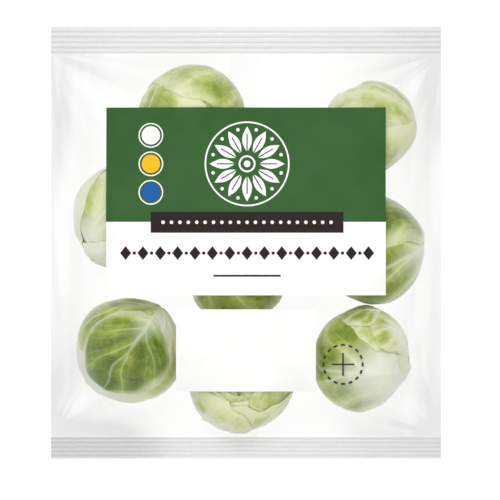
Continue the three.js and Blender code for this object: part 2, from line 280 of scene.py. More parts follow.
def wrapped_over(wrap, directions, radii):
    """The map of how far out the leaves reach, with one more leaf on it."""
    rows, columns = (np.rint(place).astype(int) for place in wrap_places(directions))
    laid = np.zeros_like(wrap)
    np.maximum.at(laid, (rows, columns % WRAP_COLUMNS), radii)
    return np.maximum(wrap, widened(laid))


def laid_leaf(blank, wrap, leaf):
    """One leaf laid over those under it: its directions and radii, and the places on its blade."""
    a, b, skin = blank.T
    phase, waves = leaf["phase"], leaf["waves"]
    across = a * np.sqrt(1 - b * b / 2)
    along = b * np.sqrt(1 - a * a / 2)
    share = np.hypot(across, along)
    around = np.arctan2(along, across)
    wobble = RIB_WANDER * np.sin(2.6 * along + phase) + FINE_WANDER * np.sin(9 * along - phase)
    lift = SIDE_WANDER * np.sin(2.4 * across + phase) + FINE_WANDER * np.sin(8 * across + 5 * along)
    blade = np.stack([across + wobble * (1 + along), along + lift], axis=1)

    margin = MARGIN_LOBES[0] * np.sin(3 * around + phase) + MARGIN_LOBES[1] * np.sin(5 * around - phase)
    ruffle = MARGIN_RUFFLE * np.sin(11 * around + 2 * phase) * share**3
    angle = leaf["reach"] * share * (1 + waves * (margin + ruffle))
    middle, turn = leaf["middle"], leaf["turn"]
    facing = np.array([math.cos(turn), math.sin(turn), 0.0])
    centre = math.sin(middle) * facing + np.array([0.0, 0.0, math.cos(middle)])
    side = np.array([-math.sin(turn), math.cos(turn), 0.0])
    upward = np.cross(centre, side)
    outward = np.cos(around)[:, None] * side + np.sin(around)[:, None] * upward
    directions = np.cos(angle)[:, None] * centre + np.sin(angle)[:, None] * outward

    rib, side_veins = veins(*blade.T)
    pucker = np.sin(9 * blade[:, 0] + phase) * np.sin(8 * blade[:, 1] - phase)
    relief = RIB_HEIGHT * rib * np.clip(0.9 - 0.7 * along, 0, 1) + SIDE_HEIGHT * side_veins
    relief += waves * PUCKER_HEIGHT * (0.5 + 0.5 * pucker) * (1 - share**2)
    curl = leaf["flare"] * share**5 * (0.6 + 0.4 * np.sin(2 * around + phase))
    curl += 0.3 * leaf["flare"] * share**6 * np.sin(9 * around - phase)
    curl -= EDGE_PRESS * (LOOSE_WAVES - waves) * share**24
    thickness = LEAF_THICKNESS * (1 + skin) / 2
    draped = radii_under(wrap, directions, WRAP_DRAPE, WRAP_SMOOTHING)
    pressed = radii_under(wrap, directions, 0, EDGE_SMOOTHING)
    hold = np.clip((share - EDGE_FROM) / (1 - EDGE_FROM), 0, 1)
    radii = draped + (pressed - draped) * hold * hold * (3 - 2 * hold)
    return directions, radii + thickness + relief + curl, blade


def pointing(compass, rise):
    """A direction on the pack, from its bearing and how far it rises to the front, in degrees."""
    compass, rise = math.radians(compass), math.radians(rise)
    return math.cos(compass) * math.cos(rise), math.sin(compass) * math.cos(rise), math.sin(rise)


def head_axes(stem, lean):
    """The head's own axes as rows: towards the front, sideways, and along to its tip."""
    tip = Vector(pointing(stem + 180, lean))
    front = (Vector((0, 0, 1)) - tip * tip.z).normalized()
    return np.array([front, tip.cross(front), tip])


def placed_leaf(axes, compass, rise):
    """Where on the head a leaf's middle is, for one that points this way on the pack."""
    front, side, tip = axes @ pointing(compass, rise)
    return {"middle": math.acos(tip), "turn": math.atan2(side, front)}


def make_head(sprout, seed, blank, leaf_material, stem_material):
    """One sprout: its leaves, the core under them and the cut stem."""
    random = np.random.default_rng(seed)
    axes = head_axes(sprout["stem"], sprout["lean"])
    low, high = (np.array(corner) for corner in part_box(sprout["node"]))
    radius = (high - low).max() / 2
    blank_points = coordinates(blank)
    wrap = np.full((WRAP_ROWS, WRAP_COLUMNS), radius - WRAP_DEPTH)
    points, blades, tints = [], [], []
    hidden = LEAVES - len(sprout["shown"])
    for k in range(LEAVES):
        share = k / (LEAVES - 1)
        usual = {name: inner + (OUTER_LEAF[name] - inner) * share for name, inner in INNER_LEAF.items()}
        leaf = {
            "middle": usual["middle"] + LEAF_JITTER * random.uniform(-1, 1),
            "reach": usual["reach"] + LEAF_JITTER * random.uniform(-1, 1),
            "turn": GOLDEN_ANGLE * (k + 1 - LEAVES) + LEAF_JITTER * random.uniform(-1, 1),
            "phase": random.uniform(0, 2 * math.pi),
            "flare": random.uniform(*LEAF_FLARE),
            "waves": sprout["waves"],
        }
        green = sprout["green"] + random.uniform(-0.1, 0.1)
        pale = sprout["pale"] + random.uniform(-0.06, 0.06)
        if k >= hidden:
            compass, rise, reach, green, pale = sprout["shown"][k - hidden]
            leaf.update(placed_leaf(axes, compass, rise), reach=math.radians(reach))
        directions, radii, blade = laid_leaf(blank_points, wrap, leaf)
        wrap = wrapped_over(wrap, directions, radii)
        points.append(head_points(directions, radii, sprout["taper"]))
        blades.append(blade)
        tints.append((green, pale))
    turned = np.concatenate(points) @ axes
    reach = turned.max(axis=0) - turned.min(axis=0)
    scale = sprout["full"] * (high - low).mean() / reach.mean()
    middle = (low + high) / 2 - scale * (turned.max(axis=0) + turned.min(axis=0)) / 2
    middle[2] = max(middle[2], HEAD_REST - scale * turned[:, 2].min())
    axes = scale * axes
    mesh = repeated(sprout["node"].replace("sprout", "head"), blank, LEAVES)
    shaped(mesh, np.concatenate(points) @ axes + middle)
    corners = np.empty(len(mesh.loops), dtype=np.int32)
    mesh.loops.foreach_get("vertex_index", corners)
    places = (np.concatenate(blades)[corners] + 1) / 2
    mesh.uv_layers.new(name="blade").uv.foreach_set("vector", places.astype(np.float32).ravel())
    for name, values in zip(("leaf_green", "leaf_pale"), np.transpose(tints)):
        spread = np.repeat(values, len(blank_points))
        mesh.attributes.new(name, "FLOAT", "POINT").data.foreach_set("value", spread)
    add_core(mesh, radius, axes, middle)
    head = piece(mesh.name, mesh, leaf_material)
    mesh.materials.append(stem_material)
    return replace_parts(head, sprout["node"])


def add_core(mesh, radius, axes, middle):
    """Adds the core that the leaves wrap, and the cut stem with its round edge, to a head's mesh."""
    bm = bmesh.new()
    bm.from_mesh(mesh)
    core_radius = CORE_SHARE * (radius - WRAP_DEPTH)
    core = bmesh.ops.create_uvsphere(bm, u_segments=24, v_segments=16, radius=core_radius)["verts"]
    stem_end = radius * HEAD_STRETCH - STEM_TRIM
    cut_radius = STEM_RADIUS * radius
    stem = bmesh.ops.create_cone(
        bm, cap_ends=True, segments=40, depth=STEM_LENGTH,
        radius1=cut_radius, radius2=cut_radius * STEM_FLARE,
    )["verts"]
    for vert in stem:
        vert.co.z += STEM_LENGTH / 2 - stem_end
    cut = [edge for edge in bm.edges if all(v in stem and v.co.z < -stem_end + 1e-6 for v in edge.verts)]
    made = bmesh.ops.bevel(
        bm, geom=cut, offset=STEM_EDGE, segments=3, profile=0.5, affect="EDGES", material=-1
    )
    grown = {v for v in bm.verts if v.index < 0} | set(core) | set(stem) | set(made["verts"])
    grown = {v for v in grown if v.is_valid}
    turned = {v: Vector(np.array(v.co) @ axes + middle) for v in grown}
    for vert, place in turned.items():
        vert.co = place
    for face in {f for v in grown - set(core) for f in v.link_faces}:
        face.material_index = 1
    for face in bm.faces:
        face.smooth = True
    bm.to_mesh(mesh)
    bm.free()


def node(tree, kind, **settings):
    """A new shader node with its settings."""
    made = tree.nodes.new("ShaderNode" + kind)
    for name, value in settings.items():
        setattr(made, name, value)
    return made


def plug(tree, socket, value):
    """Links a socket to another, or sets it to a value."""
    if isinstance(value, bpy.types.NodeSocket):
        tree.links.new(value, socket)
    else:
        socket.default_value = value


def calc(tree, operation, *values, clamp=False):
    """A number worked out from numbers or sockets."""
    made = node(tree, "Math", operation=operation, use_clamp=clamp)
    for socket, value in zip(made.inputs, values):
        plug(tree, socket, value)
    return made.outputs[0]


def times(tree, first, second):
    """The product of two numbers, or how far two shares hold together."""
    return calc(tree, "MULTIPLY", first, second)


def minus(tree, first, second):
    """The difference of two numbers."""
    return calc(tree, "SUBTRACT", first, second)


def scaled(tree, value, factor, start):
    """A value times a factor, added to a start."""
    return calc(tree, "MULTIPLY_ADD", value, factor, start)


def own_place(tree):
    """The place on the pack, in metres."""
    return node(tree, "TexCoord").outputs["Object"]


def parts_of(tree, vector):
    """The x, y and z of a vector."""
    made = node(tree, "SeparateXYZ")
    plug(tree, made.inputs[0], vector)
    return made.outputs


def vector_of(tree, *parts):
    """A vector of up to three numbers."""
    made = node(tree, "CombineXYZ")
    for socket, value in zip(made.inputs, parts):
        plug(tree, socket, value)
    return made.outputs[0]


def length_of(tree, x, y):
    """How far a place is from the middle, by its two distances."""
    return calc(tree, "SQRT", calc(tree, "ADD", times(tree, x, x), times(tree, y, y)))


def bell(tree, value, width):
    """1 where a value is 0, falling off smoothly over a width."""
    share = calc(tree, "DIVIDE", value, width)
    return calc(tree, "EXPONENT", times(tree, times(tree, share, share), -1.0))


def repeat_offset(tree, value, pitch, start):
    """The signed distance to the nearest of a row of points at a pitch."""
    pitches = calc(tree, "DIVIDE", minus(tree, value, start), pitch)
    turns = calc(tree, "FLOORED_MODULO", calc(tree, "ADD", pitches, 0.5), 1.0)
    return times(tree, minus(tree, turns, 0.5), pitch)


def either(tree, first, second):
    """The larger of two shares."""
    return calc(tree, "MAXIMUM", first, second)


def smooth_step(tree, value, low, high):
    """0 where a value is at low and 1 where it is at high, with soft ends."""
    made = node(tree, "MapRange", interpolation_type="SMOOTHSTEP")
    for socket, number in zip(made.inputs, (value, low, high)):
        plug(tree, socket, number)
    return made.outputs[0]


def blend(tree, share, first, second):
    """A colour between two colours."""
    made = node(tree, "Mix", data_type="RGBA")
    plug(tree, made.inputs[0], share)
    plug(tree, made.inputs[6], first)
    plug(tree, made.inputs[7], second)
    return made.outputs[2]


def noise(tree, place, scale, detail=2.0):
    """Soft blotches of a size set by their scale in 1/m, from 0 to 1."""
    made = node(tree, "TexNoise")
    plug(tree, made.inputs["Vector"], place)
    plug(tree, made.inputs["Scale"], scale)
    made.inputs["Detail"].default_value = detail
    return made.outputs["Fac"]


def turned_away(tree):
    """0 where a surface faces the eye and 1 where it is edge on."""
    made = node(tree, "LayerWeight")
    made.inputs["Blend"].default_value = 0.5
    return made.outputs["Facing"]


def add_bump(tree, surface, height, strength, distance):
    """Raises a height on a surface."""
    made = node(tree, "Bump")
    plug(tree, made.inputs["Height"], height)
    made.inputs["Strength"].default_value = strength
    made.inputs["Distance"].default_value = distance
    plug(tree, surface["Normal"], made.outputs[0])


def paint(red, green, blue):
    """A display colour, 0 to 255, as the linear colour that a shader takes."""
    linear = [(c / 255 / 12.92) if c < 11 else ((c / 255 + 0.055) / 1.055) ** 2.4 for c in (red, green, blue)]
    return (*linear, 1.0)


def new_material(name, constants):
    """A material with these constants, its tree and its shader's sockets."""
    material = bpy.data.materials.new(name)
    material.use_nodes = True
    surface = material.node_tree.nodes["Principled BSDF"].inputs
    for socket, value in constants.items():
        surface[socket].default_value = value
    return material, material.node_tree, surface


LEAF_TINTS = [(0.0, (219, 224, 172)), (0.35, (177, 190, 95)), (0.65, (129, 150, 38)), (1.0, (86, 110, 8))]
BASE_TINT = paint(238, 240, 226)
MARGIN_TINT = paint(230, 235, 196)
NET_TINT = paint(222, 230, 180)
VEIN_TINT = paint(236, 240, 206)
# The near white of the painted sheen on the leaves' waxy skin where they turn edge on.
PAINTED_SHEEN_TINT = paint(240, 242, 230)
NET_SCALE = 240
PATCH_SCALES = (75, 210, 420)
PATCH_SHARES = (0.9, 0.5, 0.25)
VEIN_SHADE = -0.3
MARGIN_SHADE = -0.35
LEAF_FLESH = {
    "Specular IOR Level": 0.25,
    "Subsurface Weight": 0.12,
    "Subsurface Radius": (0.6, 1.0, 0.25),
    "Subsurface Scale": 1.2 * MM,
}


def make_leaf_material():
    """Waxy leaf: green blotches between pale veins and a fine net, whiter at base and margin, painted sheen
    edge on.
    """
    material, tree, surface = new_material("sprout_leaf", LEAF_FLESH)
    place = own_place(tree)
    blade = parts_of(tree, node(tree, "UVMap", uv_map="blade").outputs[0])
    across = scaled(tree, blade[0], 2.0, -1.0)
    along = scaled(tree, blade[1], 2.0, -1.0)
    height = calc(tree, "MAXIMUM", blade[1], 0.0)
    out = calc(tree, "ABSOLUTE", across)

    rib_width = scaled(tree, calc(tree, "SQRT", height), RIB_AT_TIP - RIB_AT_BASE, RIB_AT_BASE)
    rib = bell(tree, out, rib_width)

    swing_x = calc(tree, "ADD", out, FAN_ROOT)
    swing_y = times(tree, height, 2.0)
    swing = calc(tree, "DIVIDE", calc(tree, "ARCTAN2", swing_y, swing_x), SIDE_PITCH)
    count = scaled(tree, calc(tree, "SIGN", across), SIDE_STAGGER, swing)
    width = times(tree, length_of(tree, swing_x, swing_y), SIDE_PITCH)
    gap = times(tree, calc(tree, "ABSOLUTE", repeat_offset(tree, count, 1.0, 0.0)), width)
    fine_gap = times(tree, calc(tree, "ABSOLUTE", repeat_offset(tree, count, 0.5, 0.25)), width)
    fading = calc(tree, "SUBTRACT", SIDE_FADE, out, clamp=True)
    side = times(tree, bell(tree, gap, SIDE_WIDTH), fading)
    fine = times(tree, bell(tree, fine_gap, FINE_WIDTH), smooth_step(tree, out, 0.1, 0.5))

    net = node(tree, "TexVoronoi", feature="DISTANCE_TO_EDGE")
    tree.links.new(place, net.inputs["Vector"])
    net.inputs["Scale"].default_value = NET_SCALE
    net_line = smooth_step(tree, net.outputs["Distance"], 0.07, 0.0)

    green = node(tree, "Attribute", attribute_name="leaf_green").outputs["Fac"]
    pale = node(tree, "Attribute", attribute_name="leaf_pale").outputs["Fac"]
    tone = green
    for scale, weight in zip(PATCH_SCALES, PATCH_SHARES):
        patch = minus(tree, noise(tree, place, scale), 0.5)
        tone = scaled(tree, patch, weight, tone)
    speck = patch
    by_vein = minus(tree, 1.0, smooth_step(tree, gap, 0.0, 0.2))
    tone = scaled(tree, by_vein, VEIN_SHADE, tone)
    share = length_of(tree, across, along)
    tone = scaled(tree, calc(tree, "POWER", share, 3.0), MARGIN_SHADE, tone)
    ramp = node(tree, "ValToRGB")
    tree.links.new(tone, ramp.inputs[0])
    while len(ramp.color_ramp.elements) < len(LEAF_TINTS):
        ramp.color_ramp.elements.new(0.5)
    for element, (position, tint) in zip(ramp.color_ramp.elements, LEAF_TINTS):
        element.position = position
        element.color = paint(*tint)
    wedge = scaled(tree, out, 0.45, height)
    pale_from = calc(tree, "ADD", pale, 0.28)
    pale_to = minus(tree, pale, 0.2)
    pale_share = times(tree, smooth_step(tree, wedge, pale_from, pale_to), 0.9)
    body = blend(tree, pale_share, ramp.outputs[0], BASE_TINT)
    margin = smooth_step(tree, share, 0.78, 1.0)
    body = blend(tree, times(tree, margin, 0.55), body, MARGIN_TINT)
    body = blend(tree, times(tree, net_line, 0.08), body, NET_TINT)
    vein = either(tree, times(tree, side, 0.8), rib)
    vein = either(tree, times(tree, fine, 0.3), vein)
    vein = times(tree, vein, scaled(tree, green, -0.4, 0.75))
    body = blend(tree, vein, body, VEIN_TINT)
    # Painted sheen: the leaf is mixed towards near white where it turns edge on to the eye, for its waxy
    # skin's reflection.
    painted_sheen = times(tree, smooth_step(tree, turned_away(tree), 0.35, 0.95), 0.5)
    tree.links.new(blend(tree, painted_sheen, body, PAINTED_SHEEN_TINT), surface["Base Color"])

    raised = scaled(tree, net_line, 0.35, either(tree, rib, side))
    raised = scaled(tree, speck, 0.4, raised)
    add_bump(tree, surface, raised, 0.35, 0.3 * MM)
    tree.links.new(scaled(tree, speck, 0.25, 0.44), surface["Roughness"])
    return material


def make_stem_material():
    """The cut face of a stem: moist cream flesh with darker specks."""
    material, tree, surface = new_material("cut_stem", {"Roughness": 0.5})
    fleck = noise(tree, own_place(tree), 900, 4.0)
    tone = blend(tree, smooth_step(tree, fleck, 0.35, 0.7), paint(226, 226, 190), paint(198, 196, 142))
    tree.links.new(tone, surface["Base Color"])
    add_bump(tree, surface, fleck, 0.3, 0.2 * MM)
    return material


leaf_blank = two_skin_blank("leaf_blank", LEAF_CELLS, LEAF_CELLS)
sprout_leaf = make_leaf_material()
cut_stem = make_stem_material()
heads = []
for seed, sprout in enumerate(HEADS, start=FIRST_SEED):
    heads.append(make_head(sprout, seed, leaf_blank, sprout_leaf, cut_stem))

# Film bag: one web of clear polypropylene film, folded at the sides and drawn over the sprouts.
# Its ends are pressed together by hot jaws into crimped strips. Slack gathers in creases at the corners.
film_low, film_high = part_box("film_bag")
TOP_SEAL = 9.5 * MM
BOTTOM_SEAL = 7.7 * MM
RIM_HEIGHT = 17 * MM
SEAL_DROOP = 0.16
CRIMPS = 5
CRIMP_HEIGHT = 0.3 * MM
SEAL_ROWS = 40
FILM_CELL = 1.25 * MM
FILM_PLY = 0.12 * MM
FILM_SWELL = 7.0
FILM_CLEARANCE = 0.5 * MM
FILM_REST = 0.3 * MM
RELAX_ROUNDS = 500
EASE_ROUNDS = 8
OVERSHOOT = 1.9

body_bottom = film_low.y + BOTTOM_SEAL
body_top = film_high.y - TOP_SEAL
film_columns = round((film_high.x - film_low.x) / FILM_CELL)
body_rows = round((body_top - body_bottom) / FILM_CELL)
film_xs = np.linspace(film_low.x, film_high.x, film_columns + 1)
body_ys = np.linspace(body_bottom, body_top, body_rows + 1)
cell_x = film_xs[1] - film_xs[0]
cell_y = body_ys[1] - body_ys[0]


def wrapped_limit(keep):
    """The highest or lowest point of the heads over each mesh point of the bag and those beside it."""
    empty = -np.inf if keep is np.maximum else np.inf
    limit = np.full((len(film_xs), len(body_ys)), empty)
    for head in heads:
        points = coordinates(head.data)
        i = np.rint((points[:, 0] - film_xs[0]) / cell_x).astype(int)
        j = np.rint((points[:, 1] - body_ys[0]) / cell_y).astype(int)
        inside = (i >= 0) & (i < len(film_xs)) & (j >= 0) & (j < len(body_ys))
        keep.at(limit, (i[inside], j[inside]), points[inside, 2])
    padded = np.pad(limit, 1, constant_values=empty)
    columns, rows = limit.shape
    shifts = [padded[di : di + columns, dj : dj + rows] for di in range(3) for dj in range(3)]
    return keep.reduce(shifts)


def relaxed(limit, swell, keep):
    """The film's heights: held at the rim, bowed by the air inside and stopped by a limit."""
    heights = np.full(limit.shape, RIM_HEIGHT)
    inner = (slice(1, -1), slice(1, -1))
    checks = np.add.outer(np.arange(limit.shape[0]), np.arange(limit.shape[1])) % 2
    weight = 2 / cell_x**2 + 2 / cell_y**2
    for _ in range(RELAX_ROUNDS):
        for colour in (0, 1):
            pull = (heights[2:, 1:-1] + heights[:-2, 1:-1]) / cell_x**2
            pull += (heights[1:-1, 2:] + heights[1:-1, :-2]) / cell_y**2
            target = (pull + swell) / weight
            moved = heights[inner] + OVERSHOOT * (target - heights[inner])
            chosen = checks[inner] == colour
            heights[inner] = np.where(chosen, keep(moved, limit[inner]), heights[inner])
    return heights


# The folds at a corner: which way each runs in from the seal, in degrees, and its height, length and width
# in millimetres. Then the pleats along a seal, which wander, and the waves along the sides.
CORNER_FOLDS = [(45, 2.0, 48, 8.0), (26, 0.5, 40, 3.5), (64, 0.5, 40, 3.5)]
PLEAT_PITCH = 9 * MM
PLEAT_HEIGHT = 0.35 * MM
PLEAT_REACH = 9 * MM
PLEAT_WANDER = [(5 * MM, 17 * MM, 0), (3 * MM, 7.3 * MM, 1)]
SIDE_WAVE = {"height": 0.5 * MM, "length": 11 * MM, "drift": 23 * MM, "reach": 8 * MM}
TAUT_RIM = 3 * MM
# Painted shade on the film: how far the shade of its folds runs in from the corners and the sides, the
# lighter taut ridge from each corner, the pleats beside it, and shade above the lower seal, darker on the
# left.
# The lower left end of that seal is painted in shade.
CORNER_REACH = 58 * MM
SIDE_REACH = 26 * MM
RIDGE_SWING = math.radians(47)
RIDGE_SPREAD = math.radians(13)
RIDGE_START = (0.0, 14 * MM)
PLEAT_SCALE = 4.5
PLEAT_DRIFT = 6
# How much painted shade the ridge takes away, and how much the pleats, the side streaks and the foot add.
RIDGE_GREY = (-0.65, 1.0)
PLEAT_GREY = (0.52, 0.36)
SIDE_GREY = (0.35, 0.22)
FOOT_SHADE_GREY = (-0.3, 0.55)
FOOT_SHADE = {"height": 12 * MM, "far": 46 * MM, "near": 20 * MM}
STREAK = {"scale": 190, "squeeze": 0.12}
SHADED_SEAL = (-22 * MM, -36 * MM)
# Where the painted shade lines in the crimps start in each pitch, and how wide they are.
CRIMP_SHADE = {"start": 0.03, "width": 0.045}
# Haze of the film: sloped is a painted reflection, slack is painted fold shade, line and shaded paint shade
# on the seals.
HAZE = {
    "flat": 0.012, "sloped": 0.1, "cloud": 0.015, "slack": 0.16,
    "sealed": 0.3, "line": 0.08, "shaded": 0.03,
}


def slack(x, y):
    """How far loose film stands up: folds in from the corners, pleats by the seals, and soft waves."""
    side = (film_high.x - film_low.x) / 2 - np.abs(x)
    end = np.where(y > 0, body_top - y, y - body_bottom)
    corner = 2 * (x > 0) + (y > 0)
    raised = np.zeros_like(x)
    for degrees, height, length, width in CORNER_FOLDS:
        angle = math.radians(degrees) + 0.06 * np.sin(2.3 * corner + degrees)
        off = side * np.sin(angle) - end * np.cos(angle)
        out = (side * np.cos(angle) + end * np.sin(angle)) / (length * MM)
        ridge = 1 / np.cosh(off / (width * MM)) ** 2
        raised += height * MM * ridge * 4 * np.clip(out * (1 - out), 0, 1)
    wander = sum(far * np.sin(x / length + start) for far, length, start in PLEAT_WANDER)
    raised += PLEAT_HEIGHT * np.sin(2 * np.pi * (x + wander) / PLEAT_PITCH) * np.exp(-end / PLEAT_REACH)
    wave = np.sin(y / SIDE_WAVE["length"] + 2 * np.sin(y / SIDE_WAVE["drift"]))
    raised += SIDE_WAVE["height"] * wave * np.exp(-side / SIDE_WAVE["reach"])
    return raised * np.clip(np.minimum(side, end) / TAUT_RIM, 0, 1)


def eased(heights):
    """The heights with the small kinks smoothed where the film meets and leaves what it lies on."""
    for _ in range(EASE_ROUNDS):
        around = heights[2:, 1:-1] + heights[:-2, 1:-1] + heights[1:-1, 2:] + heights[1:-1, :-2]
        heights[1:-1, 1:-1] = (heights[1:-1, 1:-1] + around / 4) / 2
    return heights


limit_above = wrapped_limit(np.maximum) + FILM_CLEARANCE
limit_below = np.maximum(wrapped_limit(np.minimum) - FILM_CLEARANCE, FILM_REST)
column_x, row_y = np.meshgrid(film_xs, body_ys, indexing="ij")
loose = slack(column_x, row_y)
front_heights = eased(np.maximum(relaxed(limit_above, FILM_SWELL, np.maximum) + loose, limit_above))


def keep_below(heights, limit):
    """Keeps the back of the bag under the heads and above the surface."""
    return np.maximum(np.minimum(heights, limit), FILM_REST)


back_heights = eased(keep_below(relaxed(limit_below, -FILM_SWELL, keep_below) + loose, limit_below))


def seal_lines(start, end):
    """Rows of a crimped seal from the bag's rim outwards, and their heights."""
    share = np.linspace(0, 1, SEAL_ROWS + 1)[1:]
    ys = start + (end - start) * share
    heights = RIM_HEIGHT - SEAL_DROOP * np.abs(ys - start)
    return ys, heights + CRIMP_HEIGHT * np.sin(2 * np.pi * CRIMPS * share)


def make_film(material):
    """The bag as one closed skin: front and back, joined at the folds and the ends of the seals."""
    bottom_ys, bottom_heights = seal_lines(body_bottom, film_low.y)
    top_ys, top_heights = seal_lines(body_top, film_high.y)
    ys = np.concatenate([bottom_ys[::-1], body_ys, top_ys])
    blank = two_skin_blank("film_bag_skin", film_columns, len(ys) - 1)
    a, b, skin = coordinates(blank).T
    i = np.rint((a + 1) / 2 * film_columns).astype(int)
    j = np.rint((b + 1) / 2 * (len(ys) - 1)).astype(int)
    ends = [np.tile(row, (len(film_xs), 1)) for row in (bottom_heights[::-1], top_heights)]
    front, back = (
        np.concatenate([ends[0], body, ends[1]], axis=1)[i, j] for body in (front_heights, back_heights)
    )
    heights = np.where(skin > 0, front + FILM_PLY, np.where(skin < 0, back - FILM_PLY, (front + back) / 2))
    shaped(blank, np.stack([film_xs[i], ys[j], heights], axis=1))
    bag = piece("clear_bag", blank, material)
    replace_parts(bag, "film_bag")


def painted_fold_shade(tree, x, y):
    """Painted fold shade, 0 to 1: pleats beside a lighter taut ridge at the corners, streaks, and shade over
    the lower seal.
    """
    half_height = (body_top - body_bottom) / 2
    from_middle = minus(tree, y, (body_top + body_bottom) / 2)
    to_side = minus(tree, film_high.x, calc(tree, "ABSOLUTE", x))
    to_end = minus(tree, half_height, calc(tree, "ABSOLUTE", from_middle))
    reach = length_of(tree, to_side, to_end)
    swing = calc(tree, "ARCTAN2", to_end, to_side)
    corner_number = scaled(tree, calc(tree, "SIGN", from_middle), 3.0, calc(tree, "SIGN", x))
    fan = vector_of(tree, swing, corner_number, times(tree, reach, PLEAT_DRIFT))
    pleats = smooth_step(tree, noise(tree, fan, PLEAT_SCALE, 1.0), 0.3, 0.7)
    # A lighter ridge runs in from each corner, with painted shade on its flanks and in the pleats beside it.
    ridge = bell(tree, minus(tree, swing, RIDGE_SWING), RIDGE_SPREAD)
    ridge = times(tree, ridge, smooth_step(tree, reach, *RIDGE_START))
    flank = scaled(tree, ridge, *RIDGE_GREY)
    corner = times(tree, smooth_step(tree, reach, CORNER_REACH, 0.0), flank)
    corner = times(tree, corner, scaled(tree, pleats, *PLEAT_GREY))
    upright = vector_of(tree, x, times(tree, y, STREAK["squeeze"]))
    streaks = smooth_step(tree, noise(tree, upright, STREAK["scale"], 1.0), 0.3, 0.7)
    # Painted shade down the sides, in streaks.
    side = smooth_step(tree, to_side, SIDE_REACH, 0.0)
    side = times(tree, side, scaled(tree, streaks, *SIDE_GREY))
    # Painted shade above the lower seal, darker on the left than on the right.
    painted_foot_shade = smooth_step(tree, to_end, FOOT_SHADE["height"], 0.0)
    painted_foot_shade = times(tree, painted_foot_shade, smooth_step(tree, to_side, FOOT_SHADE["far"], FOOT_SHADE["near"]))
    painted_foot_shade = times(tree, painted_foot_shade, calc(tree, "LESS_THAN", from_middle, 0.0))
    painted_foot_shade = times(tree, painted_foot_shade, scaled(tree, calc(tree, "SIGN", x), *FOOT_SHADE_GREY))
    return calc(tree, "ADD", calc(tree, "ADD", corner, side), painted_foot_shade, clamp=True)


def make_film_material():
    """Clear film: nearly invisible where drawn flat, painted reflection where it slopes, painted shade in
    folds, hazy seals.
    """
    material, tree, surface = new_material("clear_film", {"Roughness": 0.16, "IOR": 1.5})
    place = own_place(tree)
    x, y, _ = parts_of(tree, place)
    lower = calc(tree, "LESS_THAN", y, body_bottom)
    upper = calc(tree, "GREATER_THAN", y, body_top)
    sealed = calc(tree, "ADD", lower, upper, clamp=True)
    below = calc(tree, "DIVIDE", minus(tree, body_bottom, y), BOTTOM_SEAL)
    above = calc(tree, "DIVIDE", minus(tree, y, body_top), TOP_SEAL)
    # Painted shade: dark lines in the valleys of the crimps, where the seal is also hazier.
    to_line = repeat_offset(tree, either(tree, below, above), 1 / CRIMPS, CRIMP_SHADE["start"])
    line = times(tree, bell(tree, to_line, CRIMP_SHADE["width"]), sealed)
    shaded = times(tree, lower, smooth_step(tree, x, *SHADED_SEAL))
    fold_shade_share = painted_fold_shade(tree, x, y)
    cloud = minus(tree, noise(tree, place, 45, 3.0), 0.5)
    # Painted reflection: more of the film's pale colour shows where it turns edge on to the eye.
    haze = scaled(tree, turned_away(tree), HAZE["sloped"], HAZE["flat"])
    shares = {"cloud": cloud, "slack": fold_shade_share, "sealed": sealed, "line": line, "shaded": shaded}
    for name, share in shares.items():
        haze = calc(tree, "MULTIPLY_ADD", share, HAZE[name], haze, clamp=True)
    tree.links.new(haze, surface["Alpha"])
    # The film's colour darkens with the painted fold shade.
    grey = blend(tree, fold_shade_share, paint(222, 222, 224), paint(158, 158, 160))
    # The seal's colour darkens on the painted crimp lines, and its dim copy is the painted shade at the lower
    # left.
    lit = blend(tree, line, paint(226, 226, 227), paint(206, 206, 207))
    dim = blend(tree, line, paint(220, 220, 221), paint(188, 188, 189))
    crimped = blend(tree, shaded, lit, dim)
    tree.links.new(blend(tree, sealed, grey, crimped), surface["Base Color"])
    free = minus(tree, 1.0, sealed)
    add_bump(tree, surface, times(tree, noise(tree, place, 260), free), 0.12, 0.2 * MM)
    return material


make_film(make_film_material())


def surface_height(heights, x, y):
    """The film's height at places in the body of the bag, between its mesh points."""
    u = np.clip((x - film_xs[0]) / cell_x, 0, len(film_xs) - 1.001)
    v = np.clip((y - body_ys[0]) / cell_y, 0, len(body_ys) - 1.001)
    i, j = u.astype(int), v.astype(int)
    u, v = u - i, v - j
    low = heights[i, j] * (1 - u) + heights[i + 1, j] * u
    high = heights[i, j + 1] * (1 - u) + heights[i + 1, j + 1] * u
    return low * (1 - v) + high * v


# Front label: a satin printed panel on the film, green above and white below, with a dark strip across
# the join. Its ornaments are plain: a rosette, three dots, and rows of diamonds, beads and a rule.
LABEL_THICKNESS = 0.12 * MM
LABEL_LIFT = 0.4 * MM
LABEL_CELL = 1.25 * MM
SATIN = {"Specular IOR Level": 0.15}
# The print, in millimetres on the pack
PRINT_X = 0.4
GREEN_BOTTOM = 7.45
STRIP = {"y": 7.3, "width": 68.9, "height": 7.5}
BEAD_RADIUS = 0.62
BEADS = {"pitch": 3.0, "half_row": 30.8}
DIAMONDS = {"y": -3.7, "pitch": 6.2, "half_width": 2.0, "half_height": 2.5, "half_row": 45.6, "pip": 0.6}
RULE = {"y": -11.8, "half_length": 12.0, "half_height": 0.35}
ROSETTE = {"y": 28.2, "centre": 1.2, "beads": 12.6}
ROSETTE_RINGS = [(2.7, 0.32), (14.9, 0.28)]
PETALS = 12
PETAL = {"start": 4.2, "length": 9.2, "width": 1.75, "vein": 0.22, "vein_end": 0.72}
DOTS = [(38.4, paint(246, 247, 244)), (28.2, paint(246, 190, 24)), (18.0, paint(20, 92, 168))]
DOT_X = -34.0
DOT_RADIUS = 3.3
DOT_RING = {"gap": 0.9, "half_width": 0.22}


